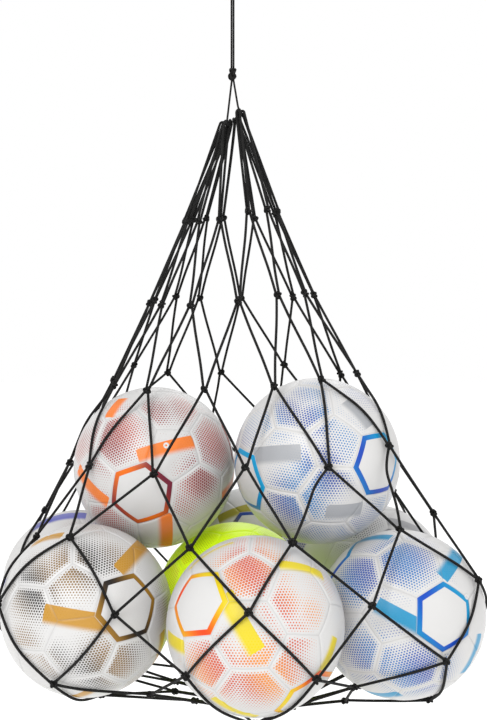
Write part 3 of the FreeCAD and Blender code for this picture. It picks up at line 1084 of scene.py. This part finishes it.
# what is printed on each ball, as it shows from the front, in ball radii: the place of the
# first hexagon and its turn in degrees, the outlined panels, the bars from end to end with
# half their width in millimetres, and the patches of dots with their width and strength
PRINTS = {
    "front": {
        "hexagon": (-0.64, 0.24), "turn": 12.0, "outlined": [(-0.64, 0.24), (0.45, -0.86)],
        "bars": [(0.25, 0.64, 0.74, 0.53, 7), (-0.33, 0.33, 0.02, -0.27, 11),
                 (-0.46, -0.76, 0.02, -0.97, 7), (0.86, -0.12, 0.62, -0.60, 7.5),
                 (-0.96, -0.12, -0.76, -0.24, 9), (-0.74, 0.60, -0.24, 0.90, 3)],
        "dots": [(-0.08, 0.60, 0.46, 1.0), (0.27, 0.22, 0.26, 0.8), (0.60, 0.14, 0.2, 0.6),
                 (0.41, -0.14, 0.26, 0.7), (-0.46, -0.47, 0.42, 1.0), (0.12, -0.52, 0.46, 1.0),
                 (0.0, 0.92, 0.3, 0.6), (0.7, 0.45, 0.3, 0.3)]},
    "left": {
        "hexagon": (0.47, 0.02), "turn": 8.0, "outlined": [(0.47, 0.02)],
        "bars": [(-0.47, -0.02, 0.28, -0.16, 11.5), (0.36, 0.42, 0.72, 0.80, 10),
                 (0.86, -0.26, 0.75, -0.70, 7), (-0.62, 0.76, -0.27, 0.85, 8),
                 (-0.15, -0.97, 0.04, -0.90, 7)],
        "dots": [(-0.11, 0.51, 0.42, 1.0), (0.26, 0.56, 0.32, 0.8), (-0.58, 0.27, 0.42, 1.0),
                 (-0.68, -0.33, 0.26, 0.7), (-0.35, -0.56, 0.28, 0.7), (0.24, -0.62, 0.44, 1.0),
                 (0.05, 0.92, 0.3, 0.5), (0.93, 0.1, 0.3, 0.6), (0.55, -0.8, 0.3, 0.6)]},
    "right": {
        "hexagon": (0.51, -0.02), "turn": 24.0, "outlined": [(0.51, -0.02), (-0.80, 0.58)],
        "bars": [(-0.28, 0.10, 0.33, -0.20, 10), (0.66, 0.74, 0.46, 0.42, 9.5),
                 (0.90, -0.20, 0.70, -0.66, 8), (-0.40, -0.91, -0.02, -0.90, 8),
                 (-0.62, 0.78, -0.12, 0.88, 8)],
        "dots": [(0.0, 0.62, 0.46, 1.0), (-0.48, 0.42, 0.4, 1.0), (-0.35, -0.50, 0.4, 0.9),
                 (0.20, -0.66, 0.46, 1.0), (-0.66, -0.62, 0.24, 0.6), (-0.08, -0.22, 0.2, 0.4),
                 (0.35, 0.5, 0.3, 0.4)]},
    "upper_left": {
        "hexagon": (-0.16, -0.33), "turn": 20.0, "outlined": [(-0.16, -0.33), (0.93, 0.30)],
        "bars": [(-0.20, 0.13, 0.47, 0.30, 9), (-0.92, -0.01, -0.55, -0.42, 9),
                 (0.13, -0.55, 0.13, -0.98, 9), (0.99, -0.10, 0.82, -0.36, 8.5),
                 (-0.55, 0.60, -0.38, 0.84, 9)],
        "dots": [(-0.52, 0.36, 0.46, 1.0), (-0.90, 0.25, 0.3, 0.7), (0.0, 0.66, 0.28, 0.8),
                 (0.72, 0.27, 0.4, 0.9), (0.56, -0.14, 0.34, 1.0), (0.36, -0.45, 0.26, 0.6),
                 (-0.60, -0.60, 0.4, 0.8), (0.36, 0.70, 0.3, 0.7)]},
    "upper_right": {
        "hexagon": (0.74, -0.03), "turn": 4.0, "outlined": [(0.74, -0.03), (-0.84, -0.32)],
        "bars": [(-0.74, 0.05, -0.18, 0.09, 11), (0.10, -0.58, 0.52, -0.55, 11),
                 (0.34, 0.70, 0.62, 0.40, 11)],
        "dots": [(-0.40, 0.52, 0.34, 0.8), (-0.06, 0.81, 0.3, 0.7), (0.0, 0.48, 0.28, 0.9),
                 (-0.86, 0.28, 0.4, 0.5), (0.30, 0.20, 0.34, 0.6), (0.04, -0.14, 0.38, 1.0),
                 (-0.24, -0.46, 0.42, 1.0), (0.50, 0.80, 0.3, 0.5), (0.74, -0.56, 0.34, 0.6),
                 (-0.05, -0.86, 0.3, 0.6), (0.4, -0.8, 0.3, 0.6)]},
    "middle": {
        "hexagon": (0.10, 0.62), "turn": 5.0, "outlined": [],
        "bars": [(0.35, 0.80, 0.80, 0.52, 8), (-0.9, 0.1, -0.7, -0.4, 8)],
        "dots": [(0.5, 0.7, 0.4, 0.8), (-0.62, 0.45, 0.5, 0.8), (-0.3, 0.9, 0.4, 0.6)]},
    "back_left": {
        "hexagon": (-0.40, 0.20), "turn": 15.0, "outlined": [(-0.40, 0.20)],
        "bars": [(-0.6, 0.75, 0.1, 0.9, 12), (-0.95, 0.1, -0.8, -0.5, 9)],
        "dots": [(0.3, 0.5, 0.5, 0.8), (-0.7, -0.4, 0.5, 0.8)]},
    "back_right": {
        "hexagon": (0.30, 0.30), "turn": 30.0, "outlined": [(0.30, 0.30)],
        "bars": [(0.2, 0.75, 0.75, 0.55, 9)],
        "dots": [(0.6, 0.1, 0.5, 0.9), (-0.2, 0.7, 0.4, 0.8)]},
    "back": {
        "hexagon": (0.0, 0.30), "turn": 0.0, "outlined": [(0.0, 0.30)],
        "bars": [(-0.5, 0.5, 0.2, 0.7, 9)],
        "dots": [(-0.3, -0.2, 0.5, 0.9), (0.5, 0.4, 0.5, 0.9)]},
    "upper_back": {
        "hexagon": (-0.30, 0.30), "turn": 40.0, "outlined": [(-0.30, 0.30)],
        "bars": [(-0.35, 0.2, 0.3, 0.05, 10), (-0.2, -0.6, 0.3, -0.5, 9)],
        "dots": [(0.0, -0.2, 0.6, 1.0), (0.1, 0.6, 0.5, 0.9)]},
}

# each print's inks: two for the dots, one for the bars, two for the outlined panel
INKS = {
    "front": ((0.593, 0.195, 0.002), (0.452, 0.043, 0.003), (0.562, 0.452, 0.002),
              (0.577, 0.437, 0.002), (0.608, 0.047, 0.005)),
    "left": ((0.006, 0.005, 0.005), (0.172, 0.086, 0.005), (0.390, 0.195, 0.014),
             (0.008, 0.006, 0.005), (0.281, 0.140, 0.012)),
    "right": ((0.002, 0.047, 0.281), (0.002, 0.125, 0.359), (0.002, 0.211, 0.390),
              (0.002, 0.211, 0.406), (0.003, 0.047, 0.359)),
    "upper_left": ((0.187, 0.005, 0.005), (0.328, 0.027, 0.008), (0.655, 0.148, 0.005),
                   (0.593, 0.117, 0.005), (0.125, 0.005, 0.023)),
    "upper_right": ((0.002, 0.039, 0.250), (0.002, 0.140, 0.359), (0.281, 0.289, 0.304),
                    (0.002, 0.250, 0.468), (0.004, 0.039, 0.312)),
    "middle": ((0.312, 0.484, 0.005), (0.546, 0.328, 0.008), (0.390, 0.484, 0.005),
               (0.156, 0.281, 0.003), (0.195, 0.281, 0.003)),
    "back_left": ((0.296, 0.039, 0.094), (0.055, 0.047, 0.312), (0.078, 0.086, 0.359),
                  (0.047, 0.047, 0.328), (0.421, 0.055, 0.109)),
    "back_right": ((0.078, 0.086, 0.101), (0.156, 0.156, 0.172), (0.265, 0.265, 0.273),
                   (0.062, 0.062, 0.070), (0.218, 0.218, 0.234)),
    "back": ((0.003, 0.014, 0.156), (0.005, 0.047, 0.250), (0.265, 0.234, 0.005),
             (0.265, 0.211, 0.005), (0.005, 0.039, 0.234)),
    "upper_back": ((0.005, 0.109, 0.039), (0.008, 0.203, 0.086), (0.023, 0.296, 0.133),
                   (0.006, 0.172, 0.070), (0.023, 0.312, 0.101)),
}


def valve_way(number):
    """Where a ball's valve points."""
    return unit(polar(1.0, VALVE_START_DEG + VALVE_STEP_DEG * number, VALVE_RISE))


# ---------------------------------------------------------------- operators

# each braid's name, yarns one way round, and repeat along the cord
NET_BRAID = ("net_braid", 4, 0.0026)
DRAW_BRAID = ("draw_braid", 5, 0.0022)


def cord_finish(braid):
    """A braid's material, made when it is first asked for."""
    cords = bpy.context.scene.ball_bag_cords
    return (bpy.data.materials.get(braid[0])
            or braid_finish(*braid, cords.cord_colour, cords.gap_shade_colour))


def finish_piece(piece, material, slot, body, *nodes):
    """Gives a piece its material and its body, and hides the nodes that it stands for. The slot is
    not used.
    """
    piece.data.materials.append(material)
    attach(piece, body)
    if nodes:
        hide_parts(*nodes)
    return piece


class BALLBAG_OT_net_cords(bpy.types.Operator):
    """Adds the cords of the net's meshes, row by row"""
    bl_idname = "ballbag.net_cords"
    bl_label = "Net cords"

    def execute(self, context):
        sides = context.scene.ball_bag_cords.net_sides
        for row in range(1, ROWS + 1):
            piece = mesh_object("net_cords_%d" % row, *tubes(mesh_row_paths(row), NET_R, sides))
            finish_piece(piece, cord_finish(NET_BRAID), "net_cord", "bag", "mesh_row_%d" % row)
        return {"FINISHED"}


class BALLBAG_OT_net_knots(bpy.types.Operator):
    """Adds the pulled-tight knots of the net, row by row"""
    bl_idname = "ballbag.net_knots"
    bl_label = "Net knots"

    def execute(self, context):
        sides = context.scene.ball_bag_cords.knot_sides
        for row in range(1, ROWS + 1):
            lines, centres = knot_lines(row)
            piece = mesh_object("net_knots_%d" % row, *knot_cores(lines, centres, NET_R, sides))
            finish_piece(piece, cord_finish(NET_BRAID), "net_cord", "bag", "knot_row_%d" % row)
        return {"FINISHED"}


class BALLBAG_OT_top_loops(bpy.types.Operator):
    """Adds the top meshes, which hang on the draw cord"""
    bl_idname = "ballbag.top_loops"
    bl_label = "Top loops"

    def execute(self, context):
        sides = context.scene.ball_bag_cords.net_sides
        piece = mesh_object("top_loop_cords", *tubes(top_loop_paths(), NET_R, sides))
        finish_piece(piece, cord_finish(NET_BRAID), "net_cord", "bag", "top_loops")
        return {"FINISHED"}


class BALLBAG_OT_neck_cord(bpy.types.Operator):
    """Adds the draw cord's bight through the top loops, and its cut end"""
    bl_idname = "ballbag.neck_cord"
    bl_label = "Neck cord"

    def execute(self, context):
        path = neck_path()
        bight = tubes(path, DRAW_R, 12, lean=outward_lean(path)[None])
        end = tubes(spline(np.array(CUT_END), 10), DRAW_R * 1.15, 12)
        piece = mesh_object("neck_bight", *joined([bight, end]))
        finish_piece(piece, cord_finish(DRAW_BRAID), "draw_cord", "bag", "neck_cord")
        return {"FINISHED"}


class BALLBAG_OT_hanging_cords(bpy.types.Operator):
    """Adds the two strands of draw cord between the knots, and the eye above them"""
    bl_idname = "ballbag.hanging_cords"
    bl_label = "Hanging cords and eye"

    def execute(self, context):
        top, bottom = EYE_KNOT_Z - TIE_REACH, CLOSING_KNOT_Z + TIE_REACH
        for name, x in (("left", -STRAND_X), ("right", STRAND_X)):
            path = route_points("strand_route", [(x, 0, top), (x, 0, (top + bottom) / 2),
                                                 (x, 0, bottom)])
            piece = mesh_object("hanging_strand_" + name, *tubes(path, DRAW_R, 14))
            finish_piece(piece, cord_finish(DRAW_BRAID), "draw_cord", "hang_cord",
                         "hang_cord_" + name)
        foot = EYE_KNOT_Z + TIE_REACH * 0.5
        side = [(STRAND_X, 0, foot), (STRAND_X + EYE_FLARE[0], 0, foot + EYE_FLARE[1]),
                (EYE_HALF_WIDTH, 0, EYE_SHOULDER_Z), (EYE_HALF_WIDTH, 0, DRAW_R)]
        other = [(-x, y, z) for x, y, z in reversed(side)]
        piece = mesh_object("eye_bight", *tubes(spline(np.array(side + other), 12), DRAW_R, 14))
        finish_piece(piece, cord_finish(DRAW_BRAID), "draw_cord", "hang_eye", "hang_eye")
        return {"FINISHED"}


class BALLBAG_OT_tie_knots(bpy.types.Operator):
    """Adds the two stopper knots in the doubled draw cord"""
    bl_idname = "ballbag.tie_knots"
    bl_label = "Stopper knots"

    def execute(self, context):
        for name, height, body, node, roll in (
                ("eye_stopper", EYE_KNOT_Z, "hang_eye", "eye_knot", 20.0),
                ("closing_stopper", CLOSING_KNOT_Z, "closing_knot", "closing_knot", -25.0)):
            turn = math.radians(roll)
            tilt = np.array(((math.cos(turn), math.sin(turn), 0),
                             (-math.sin(turn), math.cos(turn), 0), (0, 0, 1)))
            parts = []
            for flip in (1.0, -1.0):
                line = trefoil(STOPPER_WIDTH, STOPPER_HEIGHT * flip, STOPPER_DEPTH * flip,
                               STOPPER_PLACES) @ tilt
                place = np.array(STOPPER_SHIFT) * flip + (0, 0, height)
                parts.append(tubes(line + place, DRAW_R, 10, lean=unit(line)[None], closed=True))
            for x in (-STRAND_X, STRAND_X):
                ends = ((x, 0, height - TIE_REACH - STUB_LAP), (x, 0, height),
                        (x, 0, height + TIE_REACH + STUB_LAP))
                parts.append(tubes(spline(ends), DRAW_R * 0.97, 14))
            piece = mesh_object(name, *joined(parts))
            finish_piece(piece, cord_finish(DRAW_BRAID), "draw_cord", body, node)
        return {"FINISHED"}


class BALLBAG_OT_base_ring(bpy.types.Operator):
    """Adds the cord ring that draws the net up under the balls, its hitches and its knot"""
    bl_idname = "ballbag.base_ring"
    bl_label = "Base ring"

    def execute(self, context):
        angle = np.arange(RING_PLACES) * (2 * np.pi / RING_PLACES)
        out = np.stack((np.cos(angle), np.sin(angle), 0 * angle), axis=-1)
        parts = [tubes(BASE_CENTRE + out * BASE_RING_R, BASE_R, 12, lean=out[None],
                       closed=True)]
        small = np.arange(HITCH_PLACES) * (2 * np.pi / HITCH_PLACES)
        for column in columns(ROWS + 1):
            for side in (-0.5, 0.5):
                degrees = column_degrees(column)
                outward = polar(1.0, degrees, 0)
                centre = (BASE_CENTRE + outward * BASE_RING_R
                          + polar(2 * side * BASE_PAIR_HALF, degrees + 90.0, 0))
                line = (np.cos(small)[:, None] * outward
                        + np.sin(small)[:, None] * WORLD_UP) * HITCH_R
                parts.append(tubes(centre + line, HITCH_CORD_R, 6, lean=unit(line)[None],
                                   closed=True))
        piece = mesh_object("base_ring_cord", *joined(parts))
        finish_piece(piece, cord_finish(NET_BRAID), "net_cord", "bag", "base_ring")
        place = BASE_CENTRE + polar(BASE_RING_R, BASE_KNOT_DEG, BASE_KNOT_DROP)
        line = trefoil(*BASE_KNOT_LINE)
        parts = [tubes(line + place, NET_R, 10, lean=unit(line)[None], closed=True)]
        for degrees in TAILS_DEG:
            way = polar(1.0, degrees, 0)
            route = np.array((place + way * 0.002,
                              place + way * TAIL_LENGTH * 0.5 - (0, 0, 0.002),
                              place + polar(TAIL_LENGTH, degrees - TAIL_CURL_DEG, -TAIL_SAG)))
            parts.append(tubes(spline(route, 14), NET_R, 10))
        piece = mesh_object("base_tie", *joined(parts))
        finish_piece(piece, cord_finish(NET_BRAID), "net_cord", "bag", "base_knot")
        return {"FINISHED"}


class BALLBAG_OT_covers(bpy.types.Operator):
    """Adds the balls' covers: 32 printed panels with sunk seams"""
    bl_idname = "ballbag.covers"
    bl_label = "Ball covers"

    def execute(self, context):
        balls = context.scene.ball_bag_balls
        for name, centre in CENTRES.items():
            points, faces, uv, values = cover_arrays(
                centre, PRINTS[name], balls.seam_depth, balls.seam_half_width)
            piece = mesh_object("cover_" + name, points, faces, uv, "panel", values, merge=True)
            ground = balls.neon if name == "middle" else balls.white
            # only the bright ball gets the painted glow
            painted_glow = balls.neon_painted_glow if name == "middle" else 0.0
            material = print_finish("print_" + name, tuple(ground), INKS[name],
                                    1000 * balls.dot_pitch, painted_glow)
            finish_piece(piece, material, "cover_white", "ball_" + name,
                         "ball_%s_cover" % name)
        return {"FINISHED"}


class BALLBAG_OT_valves(bpy.types.Operator):
    """Adds the valves' rubber rims, and gives the bladders their rubber"""
    bl_idname = "ballbag.valves"
    bl_label = "Valves and bladders"

    def execute(self, context):
        valve = rubber_finish("valve_rubber", (0.42, 0.42, 0.42), 0.45)
        bladder = rubber_finish("bladder_rubber", (0.11, 0.09, 0.075), 0.5)
        for number, (name, centre) in enumerate(CENTRES.items()):
            way = valve_way(number)
            points, faces = lathe(VALVE_PROFILE, 28, centre + way * BALL_R, way)
            piece = mesh_object("valve_rim_" + name, points, faces, merge=True)
            finish_piece(piece, valve, "valve", "ball_" + name, "ball_%s_valve" % name)
            inner = frame["nodes"]["ball_%s_bladder" % name]
            inner.data.materials.clear()
            inner.data.materials.append(bladder)
        return {"FINISHED"}


class BALLBAG_OT_stage(bpy.types.Operator):
    """Adds the pale floor, the soft lights and the camera"""
    bl_idname = "ballbag.stage"
    bl_label = "Stage"

    def execute(self, context):
        stage = context.scene.ball_bag_stage
        low = CAD_BOX[0][2] - stage.floor_drop
        points, faces = lathe(FLOOR_RINGS, 64, np.array((0.0, 0.0, low)), WORLD_UP)
        floor = mesh_object("floor", points, faces, merge=True)
        floor.data.materials.append(floor_finish("pale_floor", 0.985))
        for name, place, size, share in LIGHTS:
            light = bpy.data.lights.new(name, "AREA")
            light.shape, light.size, light.energy = "DISK", size, share * stage.key_power
            lamp = bpy.data.objects.new(name, light)
            lamp.location = place
            away = lamp.location.copy()
            away.z -= LIGHT_AIM_Z
            lamp.rotation_mode = "QUATERNION"
            lamp.rotation_quaternion = away.to_track_quat("Z", "Y")
            context.scene.collection.objects.link(lamp)
        world = bpy.data.worlds.new("surround")
        world.use_nodes = True
        back = world.node_tree.nodes["Background"]
        back.inputs["Color"].default_value = (1.0, 1.0, 1.0, 1.0)
        back.inputs["Strength"].default_value = stage.sky
        context.scene.world = world
        context.scene.view_settings.view_transform = "Standard"
        camera = bpy.data.cameras.new("camera")
        camera.sensor_fit = "AUTO"
        camera.sensor_width = CAMERA_WIDTH
        camera.lens = CAMERA_LENS
        camera.clip_end = CAMERA_REACH
        holder = bpy.data.objects.new("camera", camera)
        holder.location = tuple(VIEW_POINT)
        holder.rotation_euler = (math.pi / 2, 0.0, 0.0)
        context.scene.collection.objects.link(holder)
        context.scene.camera = holder
        return {"FINISHED"}


STEPS = (BALLBAG_OT_stage, BALLBAG_OT_hanging_cords, BALLBAG_OT_tie_knots,
         BALLBAG_OT_neck_cord, BALLBAG_OT_top_loops, BALLBAG_OT_net_cords,
         BALLBAG_OT_net_knots, BALLBAG_OT_base_ring, BALLBAG_OT_covers, BALLBAG_OT_valves)


class BALLBAG_PT_panel(bpy.types.Panel):
    bl_idname = "BALLBAG_PT_panel"
    bl_label = "Mesh ball bag"
    bl_space_type = "VIEW_3D"
    bl_region_type = "UI"
    bl_category = "Ball bag"

    def draw(self, context):
        scene = context.scene
        for group in (scene.ball_bag_cords, scene.ball_bag_balls, scene.ball_bag_stage):
            box = self.layout.box()
            for name in group.__annotations__:
                box.prop(group, name)
        for step in STEPS:
            self.layout.operator(step.bl_idname)


GROUPS = {"ball_bag_cords": BallBagCords, "ball_bag_balls": BallBagBalls,
          "ball_bag_stage": BallBagStage}
CLASSES = (*GROUPS.values(), *STEPS, BALLBAG_PT_panel)


def register():
    for cls in CLASSES:
        bpy.utils.register_class(cls)
    for name, group in GROUPS.items():
        setattr(bpy.types.Scene, name, bpy.props.PointerProperty(type=group))


def unregister():
    for name in GROUPS:
        delattr(bpy.types.Scene, name)
    for cls in reversed(CLASSES):
        bpy.utils.unregister_class(cls)


def main():
    register()
    for step in STEPS:
        area, name = step.bl_idname.split(".")
        getattr(getattr(bpy.ops, area), name)()


if __name__ == "__main__":
    main()
